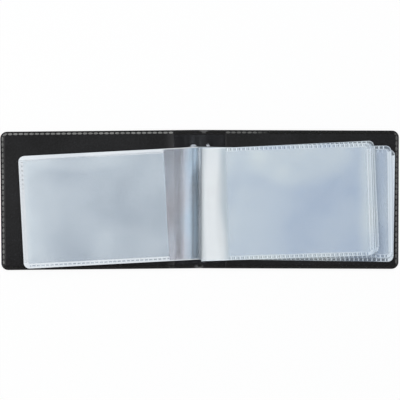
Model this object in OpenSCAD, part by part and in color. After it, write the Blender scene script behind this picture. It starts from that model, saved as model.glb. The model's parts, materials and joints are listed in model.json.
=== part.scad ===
// Business card book: a stitched leatherette cover round a bound stack of clear pocket leaves, lying open.
// X runs across the open book, front cover to -X and back cover to +X. Y runs along the spine. Z is up.
// The origin is the middle of the spine, on the surface that the open book lies on. Millimetres.

/* [Cover] */
// Spine centre to fore edge of one cover
cover_w = 115.6; // [115:0.2:140]
// Leaf's head and foot to the cover's edges, the mean of the two
cover_margin = 7.65; // [6.5:0.05:15]
// Radius of the outer corners
corner_r = 4; // [3:0.5:10]
// Thickness of the outer skin
skin_t = 0.8; // [0.6:0.1:1.5]
// Width of the skin's edge that is turned in and sewn
turn_in = 2.6; // [2.2:0.1:6]
// Thickness of the stiffener board, and of the lining beside it
board_t = 0.8; // [0.5:0.1:2]
// Play between the board and the turned edge
board_play = 0.2; // [0.1:0.05:0.5]
// Thickness of the inner flap
flap_t = 0.6; // [0.5:0.05:1.2]
// Spine centre to the free edge of the flap
flap_edge = 14.8; // [12:0.2:24]
// Free edge of the flap to the edge of the board under it
board_tuck = 2; // [1:0.2:6]
// Step from the skin's edge to the flap's edge
flap_step = 0.5; // [0.3:0.1:0.8]

/* [Spine] */
// Width of the stretch of cover that rolls as the spine
spine_w = 5; // [4:0.5:8]
// Slit between the spine and each cover, where the skin creases
crease_gap = 0.3; // [0.2:0.05:0.6]

/* [Stitching] */
// Cover edge to the middle of the stitch line
stitch_inset = 1.5; // [1.1:0.1:2]
// Distance from one stitch to the next
stitch_pitch = 3.1; // [2.4:0.1:5]
// Length of thread that shows in one stitch
stitch_len = 2; // [1.2:0.1:2.2]
// Thread diameter
thread_d = 0.4; // [0.3:0.05:0.5]
// Width of the groove that the thread lies in
groove_w = 0.8; // [0.6:0.05:1]
// Depth of the groove on the inner side
inner_groove = 0.25; // [0.15:0.05:0.35]
// Play over the thread in the groove on the outer side
thread_play = 0.05; // [0.02:0.01:0.1]

/* [Clear carrier] */
// Thickness of the carrier sheet
sheet_t = 0.2; // [0.15:0.05:0.4]
// Room over the tucked sheet, under the flap
tuck_play = 0.05; // [0.03:0.01:0.3]
// Spine centre to the end of the tucked sheet
tuck_w = 72; // [40:1:100]
// Play between the sheet and the turned edges, at top and bottom
tuck_side_play = 0.4; // [0.2:0.1:2]
// Cover's middle down to the middle of the bead
bead_drop = 2.5; // [0:0.1:3]
// Radius of the welded bead that the leaves hang on
bead_r = 1.2; // [0.9:0.05:1.4]
// Thickness of the rib that carries the bead
rib_t = 0.6; // [0.4:0.05:0.8]

/* [Leaves] */
// Height of a leaf along the spine
leaf_h = 65.1; // [58:0.1:72]
// Length of a pocket, from its mouth to the leaf's outer edge
pocket_w = 84; // [60:0.5:85]
// Thickness of one film
film_t = 0.1; // [0.08:0.01:0.15]
// Room for a card in each pocket, which is also the thickness of its weld seams
card_room = 0.3; // [0.2:0.05:0.5]
// Width of the weld seams
weld_w = 2.4; // [1.5:0.1:4]
// Break in the weld seam at each corner of a pocket
weld_break = 0.1; // [0.05:0.05:1]
// Radius of a leaf's outer corners
leaf_r = 3.3; // [2:0.1:8]
// Gap between one leaf and the next
leaf_gap = 0.1; // [0.08:0.02:0.3]
// Gap between the flap and the leaf lying on it
seat_gap = 0.3; // [0.25:0.05:0.6]

/* [Gutter] */
// Binding axis to the line where a leaf's gutter film turns flat
gutter_w = 11; // [10:0.5:13]
// Gap between the bead and the end of each gutter film
root_gap = 0.3; // [0.2:0.05:0.4]
// Place of the lowest leaf on the bead, in degrees below level
fan_first = 66; // [60:1:68]
// Angle round the bead from one leaf to the next
fan_step = 12; // [10:0.5:13]
// Turn of a front film from straight out of the bead, in degrees downwards
front_turn = -57; // [-60:1:-45]
// Length over which a front film keeps the direction that it leaves the bead in
front_run = 5.5; // [4:0.1:6]
// Turn of a back film from straight out of the bead, in degrees downwards
back_turn = 38; // [20:1:40]
// Length over which a back film keeps the direction that it leaves the bead in
back_run = 3; // [2:0.1:3.4]
// Length over which a gutter film eases into the flat leaf
ease = 4.5; // [3:0.1:6]

/* [Lie of the leaves] */
// Bare web between gutter and pockets of each front leaf, from the cover up
front_bare = [8.2, 8.4, 8.6]; // [4:0.1:18.2]
// Cover's middle down to the middle of each front leaf at the binding
front_drop = [2.35, 2.35, 2.35]; // [0:0.05:4]
// Turn of each front leaf in its plane, in degrees
front_tilt = [2.95, 3.1, 3.05]; // [-4:0.05:4]
// Bare web between gutter and pockets of each back leaf, from the cover up
back_bare = [17.8, 16.5, 7.7, 6, 4.9]; // [4:0.1:18.2]
// Cover's middle down to the middle of each back leaf at the binding
back_drop = [2.25, 3, 3.65, 3.35, 3.35]; // [0:0.05:4]
// Turn of each back leaf in its plane, in degrees
back_tilt = [-0.85, 0.75, 2.8, 2, 1.9]; // [-4:0.05:4]

/* [Hidden] */
$fn = 48;
// How far a cutting shape reaches past what it cuts
overcut = 1;
// Least radius of a corner that is drawn in
least_r = 0.1;

// Levels of the cover's layers
tuck_z = skin_t + board_t;
flap_z = tuck_z + sheet_t + tuck_play;
inner_z = flap_z + flap_t;

// Size of the cover, and lines across it
cover_h = leaf_h + 2 * cover_margin;
hinge_x = spine_w / 2 + crease_gap;
board_x = flap_edge + board_tuck;
outer_groove = thread_d + thread_play;

// The leaves fill evenly spaced levels, and the binding axis is at half the height of the whole stack,
// so that a leaf that turns over lands on a free level of the other side.
front_leaves = len(front_bare);
back_leaves = len(back_bare);
leaf_pitch = 3 * film_t + 2 * card_room + leaf_gap;
stack_levels = front_leaves + back_leaves;
axis_z = inner_z + seat_gap + stack_levels * leaf_pitch / 2;
function level(k) = (k + 0.5 - stack_levels / 2) * leaf_pitch;

// Binding axis to the outer edge of a leaf
function leaf_reach(bare) = gutter_w + bare + pocket_w;

// Gutter film of leaf k, seen along the spine from the binding axis: a Bezier curve from the leaf's
// own place on the bead, which it leaves at a turn from straight out, to the flat of the leaf.
gutter_steps = 14;
root_r = bead_r + root_gap;
function below(a) = [cos(a), -sin(a)];
function gutter_ends(k, turn, run) =
    let (fan = fan_first - k * fan_step, root = root_r * below(fan), flat = [gutter_w, level(k)])
        [root, root + run * below(fan + turn), flat - [ease, 0], flat];
function bezier(p, t) = (1 - t) ^ 3 * p[0] + 3 * (1 - t) ^ 2 * t * p[1]
    + 3 * (1 - t) * t ^ 2 * p[2] + t ^ 3 * p[3];
function bezier_slope(p, t) = (1 - t) ^ 2 * (p[1] - p[0]) + 2 * (1 - t) * t * (p[2] - p[1])
    + t ^ 2 * (p[3] - p[2]);
function gutter_side(p, off) =
    [for (i = [0 : gutter_steps]) let (t = i / gutter_steps, d = bezier_slope(p, t))
        bezier(p, t) + off / norm(d) * [-d[1], d[0]]];
function backwards(list) = [for (i = [len(list) - 1 : -1 : 0]) list[i]];

// Stitch line round a cover from x0 at its head, down the fore edge and back to x0 at its foot:
// place and heading at a distance s along it.
seam_r = corner_r - stitch_inset;
seam_x = cover_w - corner_r;
seam_y = cover_h / 2 - corner_r;
seam_arc = seam_r * PI / 2;
function seam_length(x0) = 2 * (seam_x - x0) + 2 * seam_arc + 2 * seam_y;
function seam_head(x0, s) = s < seam_x - x0
    ? [x0 + s, seam_y + seam_r, 0]
    : s < seam_x - x0 + seam_arc
        ? let (a = 90 - (s - seam_x + x0) / seam_arc * 90)
            [seam_x + seam_r * cos(a), seam_y + seam_r * sin(a), a - 90]
        : [seam_x + seam_r, seam_y - (s - seam_x + x0 - seam_arc), -90];
function seam_place(x0, s) = s <= seam_length(x0) / 2
    ? seam_head(x0, s)
    : let (p = seam_head(x0, seam_length(x0) - s)) [p[0], -p[1], -p[2]];

leaf_parts = ["gutter_film", "web", "upper_pocket", "lower_pocket", "welds"];
function leaf_node(side, k, part) = str(side, "_leaf_", k + 1, "_", part);

leatherette = [0.13, 0.13, 0.13];
lining_black = [0.09, 0.09, 0.1];
board_grey = [0.5, 0.48, 0.44];
thread_grey = [0.5, 0.5, 0.49];
clear_film = [0.74, 0.79, 0.85, 0.5];

// Plan of the back cover from x0 to its fore edge, drawn in by an inset
module cover_plan(x0, inset) {
    r = max(corner_r - inset, least_r);
    x1 = cover_w - inset;
    y1 = cover_h / 2 - inset;
    translate([x0, -y1]) square([x1 - r - x0, 2 * y1]);
    translate([x0, r - y1]) square([x1 - x0, 2 * (y1 - r)]);
    for (s = [-1, 1]) translate([x1 - r, s * (y1 - r)]) circle(r);
}

// Band between two insets, on the three outer sides
module cover_band(x0, outer, inner) {
    difference() {
        cover_plan(x0, outer);
        cover_plan(x0 - overcut, inner);
    }
}

module stitch_groove(x0) {
    cover_band(x0 - overcut, stitch_inset - groove_w / 2, stitch_inset + groove_w / 2);
}

module stitch(place, z) {
    translate([place[0], place[1], z])
        rotate([0, 90, place[2]])
            cylinder(d = thread_d, h = stitch_len, center = true);
}

// Stitches all round one cover from x0
module stitch_round(x0, z) {
    length = seam_length(x0);
    count = floor(length / stitch_pitch);
    for (i = [0 : count - 1]) stitch(seam_place(x0, (i + 0.5) * length / count), z);
}

// Stitches along head and foot between x0 and x1
module stitch_rows(x0, x1, z) {
    count = max(1, floor((x1 - x0) / stitch_pitch));
    for (i = [0 : count - 1]) for (s = [-1, 1])
        stitch([x0 + (i + 0.5) * (x1 - x0) / count, s * (cover_h / 2 - stitch_inset), 0], z);
}

inner_thread_z = thread_d / 2 - inner_groove;
outer_thread_z = outer_groove - thread_d / 2;

// Cover pieces, drawn for the back cover and mirrored for the front
module cover_skin() {
    color(leatherette) difference() {
        union() {
            linear_extrude(skin_t) cover_plan(hinge_x, 0);
            linear_extrude(flap_z) cover_band(hinge_x, 0, turn_in);
        }
        translate([0, 0, outer_groove - overcut]) linear_extrude(overcut) stitch_groove(hinge_x);
        translate([0, 0, flap_z - inner_groove]) linear_extrude(overcut) intersection() {
            stitch_groove(hinge_x);
            translate([0, -cover_h / 2]) square([flap_edge, cover_h]);
        }
    }
}

module cover_board() {
    color(board_grey) translate([0, 0, skin_t])
        linear_extrude(board_t) cover_plan(board_x, turn_in + board_play);
}

module lining() {
    w = board_x - board_play - hinge_x;
    h = cover_h - 2 * (turn_in + board_play);
    color(lining_black) translate([hinge_x, -h / 2, skin_t]) cube([w, h, board_t]);
}

module tuck_sheet() {
    h = cover_h - 2 * (turn_in + tuck_side_play);
    color(clear_film) translate([hinge_x, -h / 2, tuck_z]) cube([tuck_w - hinge_x, h, sheet_t]);
}

module flap() {
    color(leatherette) translate([0, 0, flap_z]) difference() {
        linear_extrude(flap_t) cover_plan(flap_edge, flap_step);
        translate([0, 0, flap_t - inner_groove]) linear_extrude(overcut) stitch_groove(flap_edge);
    }
}

module stitching() {
    color(thread_grey) {
        stitch_round(flap_edge, inner_z + inner_thread_z);
        stitch_rows(hinge_x, flap_edge, flap_z + inner_thread_z);
        stitch_round(hinge_x, outer_thread_z);
    }
}

// Spine pieces
module spine_skin() {
    groove_y = cover_h / 2 - stitch_inset - groove_w / 2;
    color(leatherette) difference() {
        union() {
            translate([-spine_w / 2, -cover_h / 2, 0]) cube([spine_w, cover_h, skin_t]);
            for (s = [0, 1]) mirror([0, s, 0])
                translate([-spine_w / 2, cover_h / 2 - turn_in, 0]) cube([spine_w, turn_in, flap_z]);
        }
        for (s = [0, 1]) mirror([0, s, 0]) {
            translate([-spine_w, groove_y, outer_groove - overcut]) cube([2 * spine_w, groove_w, overcut]);
            translate([-spine_w, groove_y, flap_z - inner_groove]) cube([2 * spine_w, groove_w, overcut]);
        }
    }
}

module spine_lining() {
    h = cover_h - 2 * (turn_in + board_play);
    color(lining_black) translate([-spine_w / 2, -h / 2, skin_t]) cube([spine_w, h, board_t]);
}

module spine_carrier() {
    h = cover_h - 2 * (turn_in + tuck_side_play);
    color(clear_film) translate([-spine_w / 2, -h / 2, tuck_z]) cube([spine_w, h, sheet_t]);
}

// Rib standing on the carrier, with the bead that the leaves turn about along its top
module binding_bead() {
    rib_z = tuck_z + sheet_t;
    color(clear_film) translate([0, -bead_drop, 0]) {
        translate([-rib_t / 2, -leaf_h / 2, rib_z]) cube([rib_t, leaf_h, axis_z - rib_z]);
        translate([0, 0, axis_z]) rotate([90, 0, 0]) cylinder(r = bead_r, h = leaf_h, center = true);
    }
}

module spine_stitching() {
    color(thread_grey) {
        stitch_rows(-spine_w / 2, spine_w / 2, flap_z + inner_thread_z);
        stitch_rows(-spine_w / 2, spine_w / 2, outer_thread_z);
    }
}

// Plan of a leaf in its own line, from x0 to its reach, with the outer corners rounded
module leaf_plan(x0, reach) {
    translate([x0, -leaf_h / 2]) square([reach - leaf_r - x0, leaf_h]);
    translate([x0, leaf_r - leaf_h / 2]) square([reach - x0, leaf_h - 2 * leaf_r]);
    for (s = [-1, 1]) translate([reach - leaf_r, s * (leaf_h / 2 - leaf_r)]) circle(leaf_r);
}

// A leaf's place in its plane: its drop at the binding and its tilt
module leaf_lie(lie) {
    translate([0, -lie[0]]) rotate(lie[1]) children();
}

// Weld seams of one pocket: head, outer edge and foot
module weld_plan(reach) {
    inner_x = reach - weld_w;
    difference() {
        leaf_plan(reach - pocket_w, reach);
        translate([0, weld_w - leaf_h / 2]) square([inner_x, leaf_h - 2 * weld_w]);
        translate([inner_x - weld_break, -leaf_h]) square([weld_break, 2 * leaf_h]);
    }
}

// Leaf pieces, drawn on the back cover's side and mirrored for the front.
// The web is the leaf's middle film.
module gutter_film(ends, reach, lie) {
    profile = concat(gutter_side(ends, film_t / 2), backwards(gutter_side(ends, -film_t / 2)));
    color(clear_film) intersection() {
        translate([0, 0, axis_z])
            rotate([90, 0, 0]) linear_extrude(2 * leaf_h, center = true) polygon(profile);
        linear_extrude(2 * axis_z) leaf_lie(lie) leaf_plan(-gutter_w, reach);
    }
}

module web(k, reach, lie) {
    color(clear_film) translate([0, 0, axis_z + level(k) - film_t / 2])
        linear_extrude(film_t) intersection() {
            leaf_lie(lie) leaf_plan(0, reach);
            translate([gutter_w, -leaf_h]) square([reach, 2 * leaf_h]);
        }
}

module pocket(k, reach, lie, side) {
    z = side * (film_t + card_room) - film_t / 2;
    color(clear_film) translate([0, 0, axis_z + level(k) + z])
        linear_extrude(film_t) leaf_lie(lie) leaf_plan(reach - pocket_w, reach);
}

module welds(k, reach, lie) {
    color(clear_film) for (side = [-1, 1])
        translate([0, 0, axis_z + level(k) + side * (film_t + card_room) / 2 - card_room / 2])
            linear_extrude(card_room) leaf_lie(lie) weld_plan(reach);
}

module leaf_part(part, k, ends, reach, lie) {
    if (part == "gutter_film") gutter_film(ends, reach, lie);
    if (part == "web") web(k, reach, lie);
    if (part == "upper_pocket") pocket(k, reach, lie, 1);
    if (part == "lower_pocket") pocket(k, reach, lie, -1);
    if (part == "welds") welds(k, reach, lie);
}

module to_front() {
    mirror([1, 0, 0]) children();
}

to_front() cover_skin();  // front_cover_skin
to_front() cover_board();  // front_cover_board
to_front() lining();  // front_lining
to_front() tuck_sheet();  // front_tuck_sheet
to_front() flap();  // front_flap
to_front() stitching();  // front_stitching
cover_skin();  // back_cover_skin
cover_board();  // back_cover_board
lining();  // back_lining
tuck_sheet();  // back_tuck_sheet
flap();  // back_flap
stitching();  // back_stitching
spine_skin();
spine_lining();
spine_carrier();
binding_bead();
spine_stitching();
for (k = [0 : front_leaves - 1]) for (part = leaf_parts)
    to_front() leaf_part(part, k, gutter_ends(k, front_turn, front_run),
            leaf_reach(front_bare[k]), [front_drop[k], -front_tilt[k]]);
for (k = [0 : back_leaves - 1]) for (part = leaf_parts)
    leaf_part(part, k, gutter_ends(k, back_turn, back_run),
            leaf_reach(back_bare[k]), [back_drop[k], back_tilt[k]]);
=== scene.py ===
import json
import math
from types import SimpleNamespace

import bmesh
import bpy
from mathutils import Matrix, Vector, noise


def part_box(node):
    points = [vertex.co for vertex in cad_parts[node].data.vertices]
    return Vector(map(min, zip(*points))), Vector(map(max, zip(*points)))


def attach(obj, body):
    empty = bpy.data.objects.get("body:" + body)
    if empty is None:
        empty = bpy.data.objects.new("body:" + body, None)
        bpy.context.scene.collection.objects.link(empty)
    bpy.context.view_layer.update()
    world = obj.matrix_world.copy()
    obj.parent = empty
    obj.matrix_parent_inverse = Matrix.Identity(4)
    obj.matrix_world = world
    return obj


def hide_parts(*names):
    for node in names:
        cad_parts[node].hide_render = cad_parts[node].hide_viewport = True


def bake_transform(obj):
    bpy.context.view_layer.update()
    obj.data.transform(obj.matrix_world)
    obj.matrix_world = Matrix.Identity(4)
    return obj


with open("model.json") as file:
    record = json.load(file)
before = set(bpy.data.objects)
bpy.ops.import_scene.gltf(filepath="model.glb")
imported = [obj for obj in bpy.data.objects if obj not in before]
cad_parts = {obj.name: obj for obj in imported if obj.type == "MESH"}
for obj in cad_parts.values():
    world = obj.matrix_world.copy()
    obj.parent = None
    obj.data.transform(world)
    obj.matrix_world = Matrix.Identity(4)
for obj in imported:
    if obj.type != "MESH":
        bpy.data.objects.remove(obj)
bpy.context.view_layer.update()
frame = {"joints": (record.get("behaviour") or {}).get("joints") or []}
mm = 0.001

# Cover skin: one sheet of black grained leatherette that runs from the front cover over the spine to the back
# cover. Its edges are turned in all round and sewn down, so it is a shallow tray with a rolled rim.
skin_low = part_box("front_cover_skin")[0]
skin_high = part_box("back_cover_skin")[1]
cover_half = skin_high.y
corner_r = 4 * mm
skin_t = 0.8 * mm
turn_in = 2.6 * mm
turn_in_slope = 0.05 * mm
roll_r = 0.45 * mm
seam_inset = 1.5 * mm
seam_groove = 0.8 * mm
groove_depth = 0.25 * mm
spine_bend = 6 * mm
front_splay = math.radians(0.55)
back_splay = math.radians(-0.2)


def rounded_sheet(left, right, half, level, radius, segments, round_left=False):
    """A flat sheet of one face, with its two right corners rounded, or all four."""
    bm = bmesh.new()
    corners = [bm.verts.new((x, y, level)) for x, y in
               ((left, -half), (right, -half), (right, half), (left, half))]
    bm.faces.new(corners)
    bmesh.ops.bevel(bm, geom=corners if round_left else corners[1:3], offset=radius, segments=segments,
                    profile=0.5, affect="VERTICES", material=-1)
    return bm


def plate(left, right, half, low, high, round_left=True):
    """A flat plate with rounded corners, with its upper and lower face."""
    bm = rounded_sheet(left, right, half, low, corner_r, segments=8, round_left=round_left)
    lower = bm.faces[:][0]
    made = bmesh.ops.extrude_face_region(bm, geom=[lower])["geom"]
    raised = [v for v in made if isinstance(v, bmesh.types.BMVert)]
    bmesh.ops.translate(bm, vec=(0, 0, high - low), verts=raised)
    upper = next(f for f in made if isinstance(f, bmesh.types.BMFace))
    bmesh.ops.recalc_face_normals(bm, faces=bm.faces[:])
    return bm, upper, lower


def widest_face(bm, up):
    """The largest face that looks up, where up is 1, or down, where it is -1."""
    return max((f for f in bm.faces if f.normal.z * up > 0.9), key=lambda f: f.calc_area())


def step_in(bm, face, width, rise=0):
    """Insets a face and raises or sinks it, which leaves a rim of that width round it."""
    bmesh.ops.inset_region(bm, faces=[face], thickness=width, depth=rise, use_even_offset=True,
                           use_boundary=True)


def sewn_groove(bm, face, inset):
    """A soft channel round a face, in which the seam's thread lies."""
    step_in(bm, face, inset - seam_groove / 2)
    step_in(bm, face, seam_groove / 2, -groove_depth)
    step_in(bm, face, seam_groove / 2, groove_depth)


def roll_edges(bm, faces, radius, segments=4):
    """Rounds the edges of some faces."""
    edges = list(dict.fromkeys(e for f in faces for e in f.edges))
    bmesh.ops.bevel(bm, geom=edges, offset=radius, segments=segments, profile=0.5, affect="EDGES",
                    material=-1)


def cut_at(bm, place, axis=0, trim=False):
    """Cuts across an axis at a place, and trims off what comes before it where asked."""
    normal = Vector((axis == 0, axis == 1, 0))
    return bmesh.ops.bisect_plane(bm, geom=bm.verts[:] + bm.edges[:] + bm.faces[:], plane_co=normal * place,
                                  plane_no=normal, clear_inner=trim)


def cut_across(bm, places, axis=0):
    """Cuts at each place along an axis, so that a flat stretch can bend or swell."""
    for place in places:
        cut_at(bm, place, axis)


def spread(start, end, count):
    """Even steps from start to end, with both ends."""
    return [start + (end - start) * i / count for i in range(count + 1)]


def splay(bm):
    """Turns each cover a little in its plane, from the spine outwards, as the two don't lie quite in line."""
    for v in bm.verts:
        full = front_splay if v.co.x < 0 else back_splay
        turn = full * min(abs(v.co.x) / spine_bend, 1)
        v.co.x, v.co.y = v.co.x - turn * v.co.y, v.co.y + turn * v.co.x


def set_inputs(node, **values):
    """Sets or links a node's sockets by name, or by number, as in i0, where several have the same name."""
    for name, value in values.items():
        socket = node.inputs[int(name[1:]) if name[1:].isdigit() else name.replace("_", " ")]
        if isinstance(value, Look):
            node.id_data.links.new(value.socket, socket)
        else:
            socket.default_value = value


class Look:
    """A shader socket with plain arithmetic. Numbers go through Math nodes, any other node through node()."""

    def __init__(self, socket):
        self.socket = socket

    def node(self, kind, settings=None, out=0, **values):
        """One socket of a new node in the same material, after its settings and inputs are set."""
        made = self.socket.id_data.nodes.new("ShaderNode" + kind)
        for name, value in (settings or {}).items():
            setattr(made, name, value)
        set_inputs(made, **values)
        return Look(made.outputs[out])

    def math(self, operation, other=0.0):
        """This value and another, through a Math node."""
        return self.node("Math", {"operation": operation}, i0=self, i1=other)

    def __add__(self, other):
        return self.math("ADD", other)

    def __sub__(self, other):
        return self.math("SUBTRACT", other)

    def __rsub__(self, other):
        return self.node("Math", {"operation": "SUBTRACT"}, i0=other, i1=self)

    def __mul__(self, other):
        return self.math("MULTIPLY", other)

    def __abs__(self):
        return self.math("ABSOLUTE")

    __radd__ = __add__
    __rmul__ = __mul__

    def between(self, low, high, first=0.0, last=1.0):
        """This value, smoothly mapped from low..high to first..last."""
        return self.node("MapRange", {"interpolation_type": "SMOOTHSTEP"}, Value=self, From_Min=low,
                         From_Max=high, To_Min=first, To_Max=last)

    def mix(self, a, b):
        """Colour a where this value is 0, colour b where it is 1."""
        return self.node("Mix", {"data_type": "RGBA"}, out=2, i0=self, i6=a, i7=b)

    def parts(self):
        """The three numbers of a place on the open book: across it, along it and the level."""
        return [Look(socket) for socket in self.node("SeparateXYZ", Vector=self).socket.node.outputs]

    def mottle(self, scale, detail=2.0):
        """A value that changes softly from place to place."""
        return self.node("TexNoise", Vector=self, Scale=scale, Detail=detail)

    def bump(self, strength, depth):
        """The normal of a surface that this value raises."""
        return self.node("Bump", Strength=strength, Distance=depth, Height=self)


def new_material(name):
    """A bare material with its Principled shader, and the place on the open book to draw patterns on."""
    material = bpy.data.materials.new(name)
    material.use_nodes = True
    shader = material.node_tree.nodes["Principled BSDF"]
    attribute = material.node_tree.nodes.new("ShaderNodeAttribute")
    attribute.attribute_name = "open_place"
    return material, shader, Look(attribute.outputs["Vector"])


def grey(level, blue=1.0):
    """A grey colour, with more or less blue in it."""
    return (level, level, level * blue, 1)


def leatherette():
    """Black leatherette, embossed with a fine pebble grain, with a painted sheen where light would catch it.

    The painted sheen lies at the spine's ends, along the fore seams, and on and beside the flaps' free edges.
    """
    material, shader, place = new_material("leatherette")
    across, along, level = place.parts()
    pebbles = place.node("TexVoronoi", {"feature": "SMOOTH_F1"}, Vector=place, Scale=1100.0)
    patches = place.mottle(45.0, 4.0)
    inside = level.between(skin_high.z, skin_high.z + 0.1 * mm)
    off_middle = across - along.between(-1 * mm, 1 * mm, -0.5 * mm, 2.4 * mm)
    spine_end_highlights = (abs(off_middle).between(1.2 * mm, 3.2 * mm, 1, 0)
                  * abs(along).between(cover_half - 2.2 * mm, cover_half - 1.4 * mm))
    back_rim_highlight = across.between(skin_high.x - 2 * mm, skin_high.x - seam_inset)
    past_seam = across + along * front_splay - (skin_low.x + seam_inset)
    front_seam_sheen = past_seam.between(-0.6 * mm, 0) * past_seam.between(0.8 * mm, 1.5 * mm, 1, 0) * inside
    past_flap = abs(across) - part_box("back_flap")[0].x
    flap_edge_highlights = past_flap.between(0.2 * mm, 1.2 * mm, 1, 0) * past_flap.between(-0.2 * mm, 0) * inside
    front_flap_sheen = (across.between(-21 * mm, -15.5 * mm) * across.between(-14.8 * mm, -14.6 * mm, 1, 0)
                      * inside)
    # Painted highlights and sheen, in place of light caught on the rims, seams, flap edges and the spine's
    # ends.
    painted_sheen = (spine_end_highlights + back_rim_highlight * 0.3 + flap_edge_highlights * 0.25 + front_flap_sheen * 0.3
              + front_seam_sheen * 0.35) * patches
    plain = (patches.between(0.3, 0.7) * 0.4 + pebbles * 1.1 - 0.2).mix(grey(0.002, 1.1), grey(0.015, 1.1))
    set_inputs(shader, Base_Color=painted_sheen.mix(plain, grey(0.16)), Specular_IOR_Level=0.2,
               Roughness=patches * 0.12 + pebbles * 0.2 + 0.43, Normal=pebbles.bump(0.8, 0.14 * mm))
    return material


scene = bpy.context.scene
sharp_angle = math.radians(40)


def add_piece(name, bm, *materials):
    """Makes the object of a finished bmesh, smooth but for its sharp edges.

    Each vertex keeps its place on the open book, so that a pattern stays with a piece that bends.
    """
    mesh = bpy.data.meshes.new(name)
    for face in bm.faces:
        face.smooth = True
    bm.to_mesh(mesh)
    bm.free()
    places = mesh.attributes.new("open_place", "FLOAT_VECTOR", "POINT")
    places.data.foreach_set("vector", [c for v in mesh.vertices for c in v.co])
    mesh.set_sharp_from_angle(angle=sharp_angle)
    for material in materials:
        mesh.materials.append(material)
    piece = bpy.data.objects.new(name, mesh)
    scene.collection.objects.link(piece)
    return piece


def fold_over_spine(piece):
    """Bakes a sheet's place into its mesh."""
    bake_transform(piece)


cut_reach = 2.5 * spine_bend
spine_cuts = spread(-cut_reach, cut_reach, 50)
leather = leatherette()
skin, rim_face, under_face = plate(skin_low.x, skin_high.x, cover_half, skin_low.z, skin_high.z)
roll_edges(skin, [rim_face, under_face], roll_r)
rim_face = widest_face(skin, up=1)
under_face = widest_face(skin, up=-1)
for face in (rim_face, under_face):
    sewn_groove(skin, face, seam_inset - roll_r)
step_in(skin, rim_face, turn_in - seam_inset - seam_groove / 2)
step_in(skin, rim_face, turn_in_slope, skin_t - skin_high.z)
cut_across(skin, spine_cuts)
splay(skin)
cover_skin = add_piece("cover_skin", skin, leather)
fold_over_spine(cover_skin)
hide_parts("front_cover_skin", "spine_skin", "back_cover_skin")

# Stiffener boards: one panel of pressed grey board in each cover, cut with rounded corners. It lies on the
# inside of the skin, and the flap that is sewn over it holds it there.
board, shader, place = new_material("pressed_board")
fibres = place.mottle(700.0, 6.0)
set_inputs(shader, Base_Color=fibres.mix((0.30, 0.27, 0.22, 1), (0.48, 0.44, 0.38, 1)), Roughness=0.9,
           Normal=fibres.bump(0.4, 0.1 * mm))
for side in ("front", "back"):
    low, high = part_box(f"{side}_cover_board")
    panel, _, _ = plate(low.x, high.x, high.y, low.z, high.z)
    splay(panel)
    stiffener = add_piece(f"{side}_stiffener", panel, board)
    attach(stiffener, f"{side}_cover")
    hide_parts(f"{side}_cover_board")

# Lining: a strip of smooth black coated stock that fills the space between the two boards. It is glued to the
# skin over the spine and bends with it.
lining_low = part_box("front_lining")[0]
lining_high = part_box("back_lining")[1]
lining_stock, shader, place = new_material("lining_stock")
weave = place.mottle(2500.0)
set_inputs(shader, Base_Color=weave.mix(grey(0.005, 1.3), grey(0.009, 1.3)), Roughness=weave * 0.1 + 0.5,
           Specular_IOR_Level=0.2, Normal=weave.bump(0.2, 0.05 * mm))


def add_box(bm, low, high):
    """Adds a box from its lowest to its highest corner."""
    bmesh.ops.create_cube(bm, size=1, matrix=Matrix.Translation((low + high) / 2)
                          @ Matrix.Diagonal((*(high - low), 1)))


def spine_sheet(low, high):
    """A flat sheet over the spine, with cuts at which it can bend."""
    bm = bmesh.new()
    add_box(bm, low, high)
    cut_across(bm, spine_cuts)
    splay(bm)
    return bm


lining = add_piece("lining", spine_sheet(lining_low, lining_high), lining_stock)
fold_over_spine(lining)
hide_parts("front_lining", "spine_lining", "back_lining")

# Clear carrier: the glossy plastic sheet that the leaves are bound to. It lies loose over the spine, and its
# two ends are tucked under the flaps.
carrier_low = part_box("front_tuck_sheet")[0]
carrier_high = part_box("back_tuck_sheet")[1]


def clear_plastic(name, tints, haze, roughness, gloss, ripple, tone=None, marks=None):
    """Thin clear plastic: see-through, with a glossy face and a share of milky haze in soft clouds.

    Tone gives how far the colour goes from the first tint to the second, from the clouds and the places
    across and along the open book. Marks gives what is added to the haze, from the place and the same two.
    """
    material, shader, place = new_material(name)
    across, along, _ = place.parts()
    waves = place.mottle(70.0)
    clouds = place.mottle(35.0).between(0.3, 0.7)
    shade = tone(clouds, across, along) if tone else clouds
    set_inputs(shader, Base_Color=shade.mix(*tints), Roughness=roughness, Metallic=gloss,
               Normal=waves.bump(ripple, 0.6 * mm))
    share = (clouds * 0.2 + 0.9) * haze
    if marks:
        share += marks(place, across, along)
    mixed = place.node("MixShader", i0=share, i1=place.node("BsdfTransparent"), i2=Look(shader.outputs[0]))
    set_inputs(material.node_tree.nodes["Material Output"], Surface=mixed)
    return material


def spot(across, along, x, y, width, height):
    """An oval spot with a soft edge, 1 in its middle and 0 outside."""
    off_x = (across - x) * (2 / width)
    off_y = (along - y) * (2 / height)
    return (off_x * off_x + off_y * off_y).between(0.3, 1.2, 1, 0)


def carrier_painted_glare(place, across, along):
    """Painted glare on the carrier: fine drawn-out glare, a painted highlight along the middle over the
    spine, two painted glints beside the bead's head, and a whiter strip below them."""
    drawn_out = place.node("VectorMath", {"operation": "MULTIPLY"}, i0=place, i1=(1, 0.3, 1))
    glare_streaks = drawn_out.mottle(260.0).between(0.52, 0.75)
    ridge_highlight = across.between(-3 * mm, 1.5 * mm) * across.between(2.5 * mm, 4.5 * mm, 1, 0)
    glint_spots = (spot(across, along, x=-3.7 * mm, y=30.95 * mm, width=4 * mm, height=1.6 * mm)
             + spot(across, along, x=4.8 * mm, y=31.1 * mm, width=2.4 * mm, height=1.6 * mm))
    strip = (across.between(-4 * mm, -2 * mm) * across.between(1 * mm, 2.5 * mm, 1, 0)
             * along.between(13 * mm, 25 * mm) * along.between(28 * mm, 30 * mm, 1, 0))
    # Painted glare, highlight and glints, added to the haze.
    return glare_streaks * 0.012 + ridge_highlight * 0.022 + glint_spots * 0.4 + strip * 0.15


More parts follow.
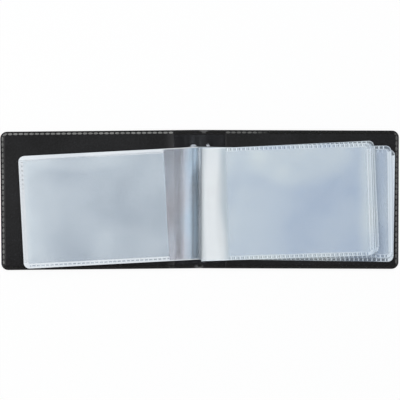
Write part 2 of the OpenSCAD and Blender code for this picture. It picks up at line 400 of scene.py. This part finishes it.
carrier_tints = ((0.7, 0.76, 0.85, 1), (0.8, 0.84, 0.9, 1))
carrier_plastic = clear_plastic("carrier_plastic", carrier_tints, haze=0.01, roughness=0.12, gloss=0.35,
                                ripple=0.9, marks=carrier_painted_glare)
carrier = add_piece("carrier_sheet", spine_sheet(carrier_low, carrier_high), carrier_plastic)
fold_over_spine(carrier)
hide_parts("front_tuck_sheet", "spine_carrier", "back_tuck_sheet")

# Inner flaps: leatherette panels, one on the inside of each cover, sewn to the skin's rim on three sides. The
# free edge towards the spine is folded over and soft.
flap_low, flap_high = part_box("back_flap")
flap_inset = cover_half - flap_high.y
flap_roll = 0.2 * mm


def mirror_left(bm):
    """Turns a piece made for the back cover, on the right, into one for the front cover, on the left."""
    bmesh.ops.scale(bm, vec=(-1, 1, 1), verts=bm.verts[:])
    bmesh.ops.reverse_faces(bm, faces=bm.faces[:])


def sewn_flap(name, mirrored):
    """A flap made longer than it is and trimmed at its free edge, so that the groove runs out there."""
    bm, upper, _ = plate(flap_low.x - corner_r, flap_high.x, flap_high.y, flap_low.z, flap_high.z,
                         round_left=False)
    roll_edges(bm, [upper], flap_roll, segments=3)
    sewn_groove(bm, widest_face(bm, up=1), seam_inset - flap_inset - flap_roll)
    cut = cut_at(bm, flap_low.x, trim=True)["geom_cut"]
    free_edges = [e for e in cut if isinstance(e, bmesh.types.BMEdge)]
    free_face = bmesh.ops.edgeloop_fill(bm, edges=free_edges)["faces"][0]
    roll_edges(bm, [free_face], flap_roll, segments=3)
    bmesh.ops.recalc_face_normals(bm, faces=bm.faces[:])
    if mirrored:
        mirror_left(bm)
    splay(bm)
    return add_piece(name, bm, leather)


for side in ("front", "back"):
    flap = sewn_flap(f"{side}_flap_panel", side == "front")
    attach(flap, f"{side}_cover")
    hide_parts(f"{side}_flap")

# Stitching: a lockstitch in grey twisted thread round each cover, through skin and flap, and across both ends
# of the spine. Each stitch shows as a short bulging dash that lies in the seam's groove.
stitch_pitch = 3.1 * mm
stitch_len = 2.8 * mm
thread_w = 1.2 * mm
thread_h = 0.6 * mm
thread, shader, place = new_material("twisted_thread")
across, along, level = place.parts()
fibres = place.mottle(4000.0)
wear = place.mottle(150.0).between(0.35, 0.65, 0.75, 1.1)
inside = level.between(0.8 * mm, 1.2 * mm)
# Painted light and shade: the inside thread is dark but drawn light where it would catch the lamps, on the
# front rows, at the start of the back flap's rows and along the back fore row, and the foot rows stay dark as
# painted shade.
front_rows = across.between(-16 * mm, -14 * mm, 1, 0) * across.between(-113.5 * mm, -112 * mm, 0.72, 1)
flap_start = across.between(14 * mm, 16 * mm) * across.between(30 * mm, 42 * mm, 0.45, 0)
fore_row = across.between(skin_high.x - 3 * mm, skin_high.x - 2 * mm, 0, 0.5)
painted_thread_light = (front_rows + flap_start + fore_row) * along.between(2 * mm - cover_half, 3 * mm - cover_half)
tone = (inside * (painted_thread_light * 0.95 - 0.38) + 0.4) * (fibres * 0.6 + 0.7) * wear
set_inputs(shader, Base_Color=tone.mix(grey(0.008, 0.9), grey(0.235, 0.97)), Roughness=0.7,
           Specular_IOR_Level=0.15, Normal=fibres.bump(0.5, 0.05 * mm))


def u_path(start, end, half, radius):
    """Length of a path round three sides of a panel, and a function for the place and heading along it."""
    straight = end - radius - start
    arc = radius * math.pi / 2
    side = half - radius

    def first_half(s):
        if s < straight:
            return start + s, half, 0.0
        if s < straight + arc:
            turn = (s - straight) / radius
            return end - radius + radius * math.sin(turn), side + radius * math.cos(turn), -turn
        return end, side - (s - straight - arc), -math.pi / 2

    length = 2 * (straight + arc + side)

    def place_at(s):
        if s <= length / 2:
            return first_half(s)
        x, y, heading = first_half(length - s)
        return x, -y, -heading

    return length, place_at


def add_stitch(bm, x, y, heading, z):
    """One dash of thread, thick in the middle and drawn to a point at both ends."""
    turn = Matrix.Translation((x, y, z)) @ Matrix.Rotation(heading, 4, "Z")
    size = Matrix.Diagonal((stitch_len, thread_w, thread_h, 1))
    bmesh.ops.create_uvsphere(bm, u_segments=8, v_segments=6, radius=0.5,
                              matrix=turn @ size @ Matrix.Rotation(math.pi / 2, 4, "Y"))


def stitch_round(bm, start, z):
    """Stitches round the three outer sides of a cover."""
    length, place_at = u_path(start, skin_high.x - seam_inset, cover_half - seam_inset, corner_r - seam_inset)
    count = int(length / stitch_pitch)
    for i in range(count):
        add_stitch(bm, *place_at((i + 0.5) * length / count), z)


def stitch_rows(bm, start, end, z):
    """Stitches in two straight rows, along the head and the foot of the cover."""
    count = max(1, int((end - start) / stitch_pitch))
    for i in range(count):
        for y in (seam_inset - cover_half, cover_half - seam_inset):
            add_stitch(bm, start + (i + 0.5) * (end - start) / count, y, 0, z)


hinge_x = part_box("back_cover_skin")[0].x
spine_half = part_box("spine_skin")[1].x
flap_thread_z = flap_high.z - groove_depth + thread_h / 2
rim_thread_z = skin_high.z - groove_depth + thread_h / 2
under_thread_z = groove_depth
for side in ("front", "back"):
    rows = bmesh.new()
    stitch_round(rows, flap_low.x, flap_thread_z)
    stitch_rows(rows, hinge_x, flap_low.x, rim_thread_z)
    stitch_round(rows, hinge_x, under_thread_z)
    if side == "front":
        mirror_left(rows)
    splay(rows)
    seam = add_piece(f"{side}_thread", rows, thread)
    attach(seam, f"{side}_cover")
    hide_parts(f"{side}_stitching")
rows = bmesh.new()
for z in (rim_thread_z, under_thread_z):
    stitch_rows(rows, -spine_half, spine_half, z)
splay(rows)
seam = add_piece("spine_thread", rows, thread)
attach(seam, "spine")
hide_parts("spine_stitching")

# Binding: a round bead on a narrow rib, both of clear plastic. The rib stands on the carrier along the spine,
# and the bead, welded to it, holds the films of every leaf.
bead_low, bead_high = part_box("binding_bead")
bead_r = (bead_high.x - bead_low.x) / 2
bead_z = bead_high.z - bead_r
bead_middle = (bead_low.y + bead_high.y) / 2
rib_t = 0.6 * mm


def bead_marks(place, across, along):
    """The bead is hazier, so lighter, towards its head."""
    return along.between(13 * mm, 25 * mm, 0, 0.14)


bead_tints = ((0.6, 0.68, 0.76, 1), (0.66, 0.74, 0.82, 1))
bead_plastic = clear_plastic("bead_plastic", bead_tints, haze=0.12, roughness=0.15, gloss=0.35, ripple=0.3,
                             marks=bead_marks)
bead = bmesh.new()
bead_place = Matrix.Translation((0, bead_middle, bead_z)) @ Matrix.Rotation(math.pi / 2, 4, "X")
bmesh.ops.create_cone(bead, cap_ends=True, segments=24, radius1=bead_r, radius2=bead_r,
                      depth=bead_high.y - bead_low.y, matrix=bead_place)
add_box(bead, Vector((-rib_t / 2, bead_low.y, bead_low.z)), Vector((rib_t / 2, bead_high.y, bead_z)))
binding = add_piece("binding", bead, bead_plastic)
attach(binding, "spine")
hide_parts("binding_bead")

# Leaf webs: the middle film of each leaf, of soft clear film with rounded corners. It is welded to the bead,
# bends down out of the gutter and lies flat over its cover, and it is fused to the pockets on three sides.
axis_z = frame["joints"][0]["pos_m"][2]
leaf_half = 65.1 * mm / 2
leaf_r = 3.3 * mm
fore_half = leaf_half - leaf_r
pocket_w = 84 * mm
gutter_w = 11 * mm
root_r = 1.5 * mm
ease = 4.5 * mm
film_t = 0.1 * mm
edge_line = 0.4 * mm
rung_pitch = 2.6 * mm
lowest_fan = 66
fan_step = 12
gutter_steps = 24
height_steps = 12

# Bare web beside the pocket and drop along the binding in mm, and tilt in degrees, from the lowest leaf up.
# The leans are those of the fore edges of the front leaves and the third back leaf, for marks along them.
front_leaves = ((8.2, 2.35, 2.95), (8.4, 2.35, 3.1), (8.6, 2.35, 3.05))
back_leaves = ((17.8, 2.25, -0.85), (16.5, 3, 0.75), (7.7, 3.65, 2.8), (6, 3.35, 2), (4.9, 3.35, 1.9))
front_lean = math.tan(math.radians(front_leaves[0][2]))
back_lean = math.tan(math.radians(back_leaves[2][2]))

front_tints = ((0.62, 0.70, 0.785, 1), (0.88, 0.95, 1.0, 1))
back_tints = ((0.63, 0.74, 0.89, 1), (0.90, 0.97, 1.0, 1))
# The second front gutter tint is the bluer colour of the painted shade by the binding.
front_gutter_tints = ((0.75, 0.765, 0.85, 1), (0.66, 0.83, 1.0, 1))
# The first back gutter tint is the white of the painted highlight on the back films' bend.
back_gutter_tints = ((0.95, 0.98, 1.0, 1), (0.66, 0.74, 0.80, 1))
white_tints = ((0.90, 0.94, 0.98, 1), (0.94, 0.97, 1.0, 1))
bluish_tints = ((0.84, 0.92, 1.0, 1), (0.9, 0.96, 1.0, 1))


def front_painted_light(clouds, across, along):
    """Painted light on the front films: lighter by the fore edge, the head and the foot."""
    fore_edge = (across + along * front_lean).between(-102 * mm, -97.5 * mm, 0.4, 0)
    painted_arch_light = across.between(-105 * mm, -70 * mm, 0.58, 0) + across.between(-50 * mm, -25 * mm, 0, 0.11)
    head = spot(across, along, x=-72 * mm, y=27 * mm, width=70 * mm, height=24 * mm)
    foot = spot(across, along, x=-42 * mm, y=-27 * mm, width=44 * mm, height=28 * mm)
    return clouds * 0.36 + fore_edge + painted_arch_light + (head * 0.45 + foot * 0.25)


def back_painted_light(clouds, across, along):
    """Painted light on the back films: lighter towards the binding, in a wide patch by the head, and beside
    the fore edges.
    """
    by_binding = across.between(12 * mm, 60 * mm, 0.47, 0) * along.between(-30 * mm, 20 * mm, 0.7, 1)
    head = spot(across, along, x=58 * mm, y=30 * mm, width=66 * mm, height=48 * mm)
    fore_edges = (across.between(90 * mm, 97 * mm, 0, 0.5) * across.between(101 * mm, 103 * mm, 1, 0)
                  + across.between(105 * mm, 110 * mm, 0, 0.4))
    return clouds * 0.33 + by_binding + head * 0.6 + fore_edges


def front_gutter_shade_tone(clouds, across, along):
    """The front films turn to the second, bluer tint towards the binding, the colour of the painted shade
    there.
    """
    return clouds * 0.5 + across.between(-11 * mm, -4 * mm, 0, 0.7)


def back_bend_painted_highlight(clouds, across, along):
    """Painted highlight: the back films are drawn white where they bend, and shade off to the flat, further
    out by the foot.
    """
    flat = (across - along.between(-28 * mm, 0, 15.2 * mm, 12 * mm)).between(-2.6 * mm, 2.6 * mm, 0, 0.9)
    return clouds * 0.1 + flat + along.between(15 * mm, 30 * mm, 0, 0.12)


def front_gutter_painted_light(place, across, along):
    """Painted light and shade on the front films: a painted highlight in a band along the binding, broader by
    the head, more haze in a patch by the foot, and more haze on the flat than at the bend, so that the bend
    shows darker as painted shade."""
    head = along.between(12 * mm, 28 * mm)
    past_band = across - head * (5 * mm)
    band = across.between(-10.8 * mm, -8.2 * mm) * past_band.between(-7.2 * mm, -2.8 * mm, 1, 0)
    patch = (across.between(-20 * mm, -16 * mm) * across.between(-15.5 * mm, -12 * mm, 1, 0)
             * along.between(-26 * mm, -10 * mm, 1, 0))
    flat = across.between(-11 * mm, -9 * mm, 0.016, 0)
    return band * (0.044 - head * 0.016) + patch * 0.02 + flat * (1 - head * 0.7)


def back_film_painted_shade(place, across, along):
    """Painted shade: the lower leaves' films are made clearer, so darker, in a strip beside the fore edge of
    the third leaf.
    """
    past_edge = across + along * back_lean
    return past_edge.between(102.6 * mm, 103.2 * mm) * past_edge.between(103.5 * mm, 107 * mm, 1, 0) * -0.045


def front_weld_marks(place, across, along):
    """The fused band at the front leaves' head is narrower towards the spine."""
    inside_edge = along - across * front_lean - across.between(-105 * mm, -25 * mm, 27.9 * mm, 28.7 * mm)
    return inside_edge.between(-0.4 * mm, 0.4 * mm, 1, 0) * along.between(0, 5 * mm) * -0.4


def back_weld_painted_shade(place, across, along):
    """Painted shade: the foot seams of the two lower leaves, under the leaves above, and the fore edge of the
    third leaf are made clearer, so darker.
    """
    level = place.parts()[2]
    lower = level.between(axis_z - 2.2 * mm, axis_z - 1.8 * mm, 1, 0)
    third = (1 - lower) * level.between(axis_z - 1.2 * mm, axis_z - 0.8 * mm, 1, 0)
    fore_edge = (across + along * back_lean).between(102 * mm, 102.2 * mm)
    foot = along.between(-31 * mm, -30 * mm, 1, 0) * across.between(101 * mm, 105 * mm, 1, 0)
    return lower * foot * -0.22 + third * fore_edge * -0.4


def front_fore_marks(place, across, along):
    """A row of small clear dots in the front leaves' fore seam, left by the welding tool."""
    past_edge = across + along * front_lean
    row = past_edge.between(-102.6 * mm, -102.3 * mm) * past_edge.between(-101.5 * mm, -101.2 * mm, 1, 0)
    dots = (along * (2 * math.pi / rung_pitch)).math("SINE").between(-0.1, 0.6)
    return row * dots * along.between(-5 * mm, 10 * mm, 0.4, 1) * -0.155


def back_fore_marks(place, across, along):
    """The two lower leaves stick out past the rest, and have the whitest fore seams."""
    return across.between(103 * mm, 106 * mm, 0, 0.3) + across.between(110.2 * mm, 111.4 * mm, 0, 0.35)


milky = {"roughness": 0.4, "gloss": 0.15, "ripple": 0.35}
fused = {"roughness": 0.2, "gloss": 0.2, "ripple": 0.35}
taut = {"roughness": 0.1, "gloss": 0.8, "ripple": 0.35}
bent = {"roughness": 0.35, "gloss": 0.1, "ripple": 0.35}
welded = {"roughness": 0.35, "gloss": 0.1, "ripple": 0.2}

# A leaf's looks go by number. Only the back leaves have the last one.
milky_film, fused_film, weld_line, gutter_film, fore_seam, end_rail = range(6)
front_looks = (
    clear_plastic("front_milky_film", front_tints, haze=0.16, **milky, tone=front_painted_light),
    clear_plastic("front_fused_film", front_tints, haze=0.1, **fused),
    clear_plastic("front_weld_line", white_tints, haze=0.55, **welded, marks=front_weld_marks),
    clear_plastic("front_gutter_film", front_gutter_tints, haze=0.032, **taut, tone=front_gutter_shade_tone,
                  marks=front_gutter_painted_light),
    clear_plastic("front_fore_seam", white_tints, haze=0.2, **welded, marks=front_fore_marks),
)
back_looks = (
    clear_plastic("back_milky_film", back_tints, haze=0.16, **milky, tone=back_painted_light, marks=back_film_painted_shade),
    clear_plastic("back_fused_film", back_tints, haze=0.065, **fused),
    clear_plastic("back_weld_line", bluish_tints, haze=0.6, **welded, marks=back_weld_painted_shade),
    # Its high haze and white tint draw the painted highlight on the back films' bend.
    clear_plastic("back_gutter_film", back_gutter_tints, haze=0.4, **bent, tone=back_bend_painted_highlight),
    clear_plastic("back_fore_seam", bluish_tints, haze=0.14, **welded, marks=back_fore_marks),
    clear_plastic("back_end_rail", bluish_tints, haze=0.25, **welded, marks=back_weld_painted_shade),
)

# Turn and run say how a gutter film sets off from the bead, bow how much longer it is at head and foot, and
# seam the widths of a weld's outer rail, rungs and inner rail.
stacks = (
    SimpleNamespace(side="front", hand=-1, turn=math.radians(-57), run=5.5 * mm, bow=0.5 * mm,
                    seam=(1.0 * mm, 0.8 * mm, 0.9 * mm), open_head=False, looks=front_looks,
                    fore_rails=fore_seam, end_rails=weld_line, leaves=front_leaves),
    SimpleNamespace(side="back", hand=1, turn=math.radians(38), run=3 * mm, bow=4 * mm,
                    seam=(0.4 * mm, 1.4 * mm, 0.6 * mm), open_head=True, looks=back_looks,
                    fore_rails=weld_line, end_rails=end_rail, leaves=back_leaves),
)
leaves = []
for stack in stacks:
    for number, (bare, drop, tilt) in enumerate(stack.leaves, 1):
        body = f"{stack.side}_leaf_{number}"
        low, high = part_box(f"{body}_web")
        reach = gutter_w + bare * mm + pocket_w
        leaves.append(SimpleNamespace(
            stack=stack, number=number, body=body, reach=reach, pocket_start=reach - pocket_w, drop=drop * mm,
            tilt=math.radians(tilt * stack.hand), level=(low.z + high.z) / 2,
            fan=math.radians(lowest_fan - fan_step * (number - 1))))


def edge_depth(leaf, x, y):
    """Distance from a point of a leaf to its nearest welded edge, with the corners rounded."""
    out_x = x - (leaf.reach - leaf_r)
    out_y = abs(y) - fore_half
    return leaf_r - math.hypot(max(out_x, 0), max(out_y, 0)) - min(max(out_x, out_y), 0)


def leaf_sheet(leaf, start, seam):
    """A flat sheet with the leaf's outline, from well before its start, with loops along the seam's lines."""
    bm = rounded_sheet(start - 2 * leaf_r, leaf.reach, leaf_half, 0, leaf_r, segments=6)
    face = bm.faces[:][0]
    for width in seam:
        step_in(bm, face, width)
    return bm


def thicken(bm):
    """Gives a flat or bent film its thickness."""
    bmesh.ops.recalc_face_normals(bm, faces=bm.faces[:])
    bmesh.ops.solidify(bm, geom=bm.faces[:], thickness=film_t)
    bmesh.ops.recalc_face_normals(bm, faces=bm.faces[:])


def lie_on(bm, leaf, level):
    """Turns a leaf's piece in its plane and sets it at its drop along the binding and at a level."""
    turn = Matrix.Rotation(leaf.tilt, 4, "Z")
    bmesh.ops.transform(bm, matrix=Matrix.Translation((0, -leaf.drop, level)) @ turn, verts=bm.verts[:])


def below(angle):
    """The direction that leads down from the bead at an angle to the level."""
    return Vector((math.cos(angle), -math.sin(angle)))


def gutter_place(leaf, share, flat_x):
    """Where the gutter film runs, a share of the way from its place on the bead to the flat leaf."""
    root = root_r * below(leaf.fan)
    level = leaf.level - axis_z
    points = (root, root + leaf.stack.run * below(leaf.fan + leaf.stack.turn),
              Vector((flat_x - ease, level)), Vector((flat_x, level)))
    weights = ((1 - share) ** 3, 3 * (1 - share) ** 2 * share, 3 * (1 - share) * share ** 2, share ** 3)
    return sum((w * p for w, p in zip(weights, points)), Vector((0, 0)))


def web_film(leaf):
    """The leaf's middle film. Its gutter stretch is a little longer at head and foot than at mid height.

    Where the seam's outer rail is wider than the film's own edge line, it has a loop for each.
    """
    bow = leaf.stack.bow
    outer, *inner = leaf.stack.seam
    lines = (edge_line, outer - edge_line, *inner) if outer > edge_line else leaf.stack.seam
    bm = leaf_sheet(leaf, 0, lines)
    cut_at(bm, leaf.pocket_start)
    lie_on(bm, leaf, 0)
    cut_at(bm, 0, trim=True)
    cut_across(bm, spread(0, gutter_w + bow, gutter_steps)[1:])
    cut_across(bm, spread(-leaf_half, leaf_half, height_steps)[1:-1], axis=1)
    for v in bm.verts:
        height = (v.co.y + leaf.drop) / leaf_half
        flat_x = gutter_w + bow * (height ** 2 - 1 / 3)
        if v.co.x < flat_x:
            v.co.x, v.co.z = gutter_place(leaf, v.co.x / flat_x, flat_x)
            v.co.z += axis_z
        else:
            v.co.z = leaf.level
    return bm


def film_look(leaf, x, y):
    """The look of a leaf's film at a point: milky in the pocket, and others in its seams and the gutter."""
    depth = edge_depth(leaf, x, y)
    if x < leaf.pocket_start:
        return weld_line if depth < edge_line else gutter_film
    if depth > sum(leaf.stack.seam):
        return milky_film
    return fore_seam if abs(y) < fore_half else fused_film


def add_film(leaf, label, bm, *nodes):
    """Makes a film of a leaf one of its body's pieces, in place of its CAD nodes."""
    if leaf.stack.side == "front":
        mirror_left(bm)
    piece = add_piece(f"{leaf.body}_{label}", bm, *leaf.stack.looks)
    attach(piece, leaf.body)
    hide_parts(*(f"{leaf.body}_{node}" for node in nodes))


for leaf in leaves:
    web = web_film(leaf)
    thicken(web)
    unturn = Matrix.Rotation(-leaf.tilt, 4, "Z")
    for f in web.faces:
        flat = unturn @ (f.calc_center_median() + Vector((0, leaf.drop, 0)))
        f.material_index = film_look(leaf, flat.x, flat.y)
    add_film(leaf, "web_film", web, "gutter_film", "web")

# Pocket films: two to a leaf, cut from the same soft film, one on each face of its web. Each is welded to the
# web on three sides and open towards the spine, and the empty pocket clings to the web here and there.
pocket_faces = {"upper": 1, "lower": -1}
weld_lift = 0.13 * mm
pocket_lift = 0.36 * mm
least_lift = 0.55
swell_run = 3 * mm
cut_margin = 5 * mm
pocket_steps = 14
pocket_height_steps = 10
waves_per_m = 40


def pocket_film(leaf, face):
    """One pocket film, on the upper or lower face of the web: pressed flat at the welds and loose inside."""
    seam = leaf.stack.seam
    seed = leaf.stack.hand * leaf.number + face * 0.3
    bm = leaf_sheet(leaf, leaf.pocket_start, seam)
    cut_at(bm, leaf.pocket_start, trim=True)
    cut_across(bm, spread(leaf.pocket_start, leaf.reach - cut_margin, pocket_steps)[1:])
    cut_across(bm, spread(cut_margin - leaf_half, leaf_half - cut_margin, pocket_height_steps), axis=1)
    for v in bm.verts:
        swell = min(max((edge_depth(leaf, v.co.x, v.co.y) - sum(seam)) / swell_run, 0), 1)
        wave = 0.5 + 0.5 * noise.noise(Vector((v.co.x * waves_per_m, v.co.y * waves_per_m, seed)))
        loose = swell * (least_lift + (1 - least_lift) * wave)
        v.co.z = face * (weld_lift + (pocket_lift - weld_lift) * loose)
    return bm


def add_pocket_part(leaf, label, bm, look_at, node):
    """Finishes a pocket's flat film or weld, with its look at each point, and lays it on the leaf."""
    thicken(bm)
    for f in bm.faces:
        centre = f.calc_center_median()
        f.material_index = look_at(leaf, centre.x, centre.y)
    lie_on(bm, leaf, leaf.level)
    add_film(leaf, label, bm, node)


for leaf in leaves:
    for label, face in pocket_faces.items():
        add_pocket_part(leaf, f"{label}_pocket_film", pocket_film(leaf, face), film_look, f"{label}_pocket")

# Weld seams: the fused edges of each pocket, pressed into the soft film by a hot tool. They are ladders of
# two rails with rungs between them at head and foot, and at the front leaves' head a plain fused band.
rung_w = 0.7 * mm
rail_lift = 0.26 * mm


def rungs(start, end):
    """Middles of the rungs along one side of a seam."""
    count = round((end - start) / rung_pitch)
    return [start + (i + 0.5) * (end - start) / count for i in range(count)]


def between_rails(leaf, x, y):
    """Whether a point of a weld lies between its two rails."""
    outer, middle, _ = leaf.stack.seam
    return outer < edge_depth(leaf, x, y) < outer + middle


def weld_ladder(leaf, face):
    """Seam of one pocket: two rails on three sides, with rungs between them at head and foot.

    Where the head isn't open, its seam is fused to a plain band.
    """
    places = rungs(leaf.pocket_start, leaf.reach - leaf_r)
    bm = leaf_sheet(leaf, leaf.pocket_start, leaf.stack.seam)
    bmesh.ops.delete(bm, geom=[max(bm.faces, key=lambda f: f.calc_area())], context="FACES")
    cut_at(bm, leaf.pocket_start, trim=True)
    cut_across(bm, [p + edge for p in places for edge in (-rung_w / 2, rung_w / 2)])
    cut_across(bm, (-fore_half, fore_half), axis=1)
    windows = []
    for f in bm.faces:
        x, y, _ = f.calc_center_median()
        at_corner = abs(y) > fore_half and x > leaf.reach - leaf_r
        at_rung = abs(y) > fore_half and min(abs(x - p) for p in places) < rung_w / 2
        fused_there = y > fore_half and not leaf.stack.open_head or at_corner and y < 0
        if between_rails(leaf, x, y) and not at_rung and not fused_there:
            windows.append(f)
    bmesh.ops.delete(bm, geom=windows, context="FACES")
    bmesh.ops.translate(bm, vec=(0, 0, face * rail_lift), verts=bm.verts[:])
    return bm


def weld_look(leaf, x, y):
    """The look of a leaf's ladder at a point: at the fore edge, on a rung, or on a rail elsewhere."""
    if abs(y) < fore_half - sum(leaf.stack.seam):
        return leaf.stack.fore_rails
    return weld_line if between_rails(leaf, x, y) else leaf.stack.end_rails


for leaf in leaves:
    for label, face in pocket_faces.items():
        add_pocket_part(leaf, f"{label}_weld", weld_ladder(leaf, face), weld_look, "welds")

# Table: a plain white top that the open book lies on, just under its skin. It looks white to the camera and
# in what mirrors it, and keeps the book's shadow.
table_drop = 0.1 * mm
table_glow = 0.88
table = bmesh.new()
bmesh.ops.create_grid(table, x_segments=1, y_segments=1, size=2,
                      matrix=Matrix.Translation((0, 0, -table_drop)))
paper, shader, place = new_material("white_table")
set_inputs(shader, Base_Color=(0.96, 0.96, 0.96, 1), Roughness=0.9, Specular_IOR_Level=0.1)
seen = place.node("LightPath", out="Is Camera Ray")
for ray in ("Is Glossy Ray", "Is Transmission Ray"):
    seen = seen.math("MAXIMUM", place.node("LightPath", out=ray))
glow = place.node("Emission", Color=(1, 1, 1, 1), Strength=1.0)
mixed = place.node("MixShader", i0=seen * table_glow, i1=Look(shader.outputs[0]), i2=glow)
set_inputs(paper.node_tree.nodes["Material Output"], Surface=mixed)
table_top = add_piece("table_top", table, paper)

# View: straight down on the open book, from far enough for little perspective. The width of the view is taken
# at the level of the flaps.
view_height = 1.2
view_width = 232.2 * mm
view_middle = (0.17 * mm, -0.55 * mm)
camera = bpy.data.cameras.new("camera")
camera.sensor_width = 36
camera.lens = camera.sensor_width * (view_height - flap_high.z) / view_width
viewer = bpy.data.objects.new("camera", camera)
viewer.location = (*view_middle, view_height)
scene.collection.objects.link(viewer)
scene.camera = viewer

# Light: a bright room with a large soft lamp on the left, a smaller one at the far side and a cool one on the
# right, all turned to the middle of the book.
room_strength = 0.45


def soft_lamp(name, place, size, radiance, colour=(1, 1, 1)):
    """A rectangular lamp that looks equally bright at any size."""
    lamp = bpy.data.lights.new(name, "AREA")
    lamp.color = colour
    lamp.shape = "RECTANGLE"
    lamp.size, lamp.size_y = size
    lamp.energy = radiance * math.pi * size[0] * size[1]
    holder = bpy.data.objects.new(name, lamp)
    holder.location = place
    holder.rotation_euler = (-Vector(place)).to_track_quat("-Z", "Y").to_euler()
    scene.collection.objects.link(holder)


soft_lamp("left_lamp", place=(-0.45, 0.0, 0.85), size=(0.7, 1.0), radiance=2.0)
soft_lamp("far_lamp", place=(0.1, 0.6, 0.7), size=(0.9, 0.4), radiance=1.2)
soft_lamp("right_lamp", place=(0.6, 0.1, 0.9), size=(0.5, 0.8), radiance=1.25, colour=(0.78, 0.9, 1))
scene.world = bpy.data.worlds.new("room")
scene.world.use_nodes = True
set_inputs(scene.world.node_tree.nodes["Background"], Color=(1, 1, 1, 1), Strength=room_strength)
scene.view_settings.view_transform = "Standard"
scene.cycles.transparent_max_bounces = 96  # enough for both faces of every film in a stack
